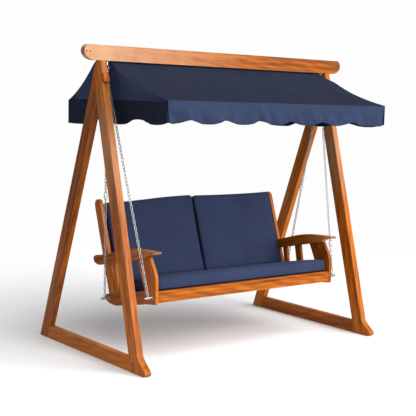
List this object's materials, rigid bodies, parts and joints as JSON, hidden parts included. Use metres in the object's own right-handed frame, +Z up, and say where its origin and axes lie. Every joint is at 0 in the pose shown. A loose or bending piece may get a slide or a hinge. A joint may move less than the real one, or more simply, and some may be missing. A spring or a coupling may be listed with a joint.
{
  "type": "canopy swing bench",
  "caption": "Garden sofa swing hung on chains from a timber A-frame stand with a ridge beam and a scalloped fabric canopy, with loose seat and back cushions.",
  "frame": {"origin": "on the ground, at the middle of the bench's bounding box", "axes": "+X along the ridge beam, -Y out of the front of the seat, +Z up"},
  "size_m": [2.207, 1.2947, 1.955],
  "materials": {
    "teak": "oiled golden brown hardwood, satin",
    "canopy_canvas": "woven navy polyester canvas, matt",
    "cushion_canvas": "woven navy canvas covers, matt",
    "zinc_steel": "bright zinc plated"
  },
  "bodies": {
    "frame": {"base_rail_left": "teak", "base_rail_right": "teak", "canopy_batten": "teak", "canopy_eave_bar_front": "teak", "canopy_eave_bar_rear": "teak", "canopy_gable_left": "canopy_canvas", "canopy_gable_right": "canopy_canvas", "canopy_rafter_front_left": "teak", "canopy_rafter_front_right": "teak", "canopy_rafter_rear_left": "teak", "canopy_rafter_rear_right": "teak", "canopy_roof_front": "canopy_canvas", "canopy_roof_rear": "canopy_canvas", "canopy_valance_front": "canopy_canvas", "canopy_valance_rear": "canopy_canvas", "cap_block_left": "teak", "cap_block_right": "teak", "hanging_eye_left": "zinc_steel", "hanging_eye_right": "zinc_steel", "leg_front_left": "teak", "leg_front_right": "teak", "leg_rear_left": "teak", "leg_rear_right": "teak", "ridge_beam": "teak"},
    "swing": {"arm_left": "teak", "arm_right": "teak", "arm_slat_mid_left": "teak", "arm_slat_mid_right": "teak", "arm_slat_rear_left": "teak", "arm_slat_rear_right": "teak", "back_cushion_left": "cushion_canvas", "back_cushion_right": "cushion_canvas", "back_post_left": "teak", "back_post_right": "teak", "back_slat_1": "teak", "back_slat_2": "teak", "back_slat_3": "teak", "back_slat_4": "teak", "chain_bolt_front_left": "zinc_steel", "chain_bolt_front_right": "zinc_steel", "chain_bolt_rear_left": "zinc_steel", "chain_bolt_rear_right": "zinc_steel", "chain_front_left": "zinc_steel", "chain_front_right": "zinc_steel", "chain_rear_left": "zinc_steel", "chain_rear_right": "zinc_steel", "front_post_left": "teak", "front_post_right": "teak", "hang_ring_left": "zinc_steel", "hang_ring_right": "zinc_steel", "seat_cushion": "cushion_canvas", "seat_front_rail": "teak", "seat_rear_rail": "teak", "seat_side_rail_left": "teak", "seat_side_rail_right": "teak", "seat_slat_1": "teak", "seat_slat_2": "teak", "seat_slat_3": "teak", "seat_slat_4": "teak"}
  },
  "joints": [
    {"name": "seat_swing", "type": "hinge", "parent": "frame", "child": "swing", "pos_m": [0, -0.0425, 1.809], "axis": [1, 0, 0], "range_deg": [-20, 20]}
  ]
}
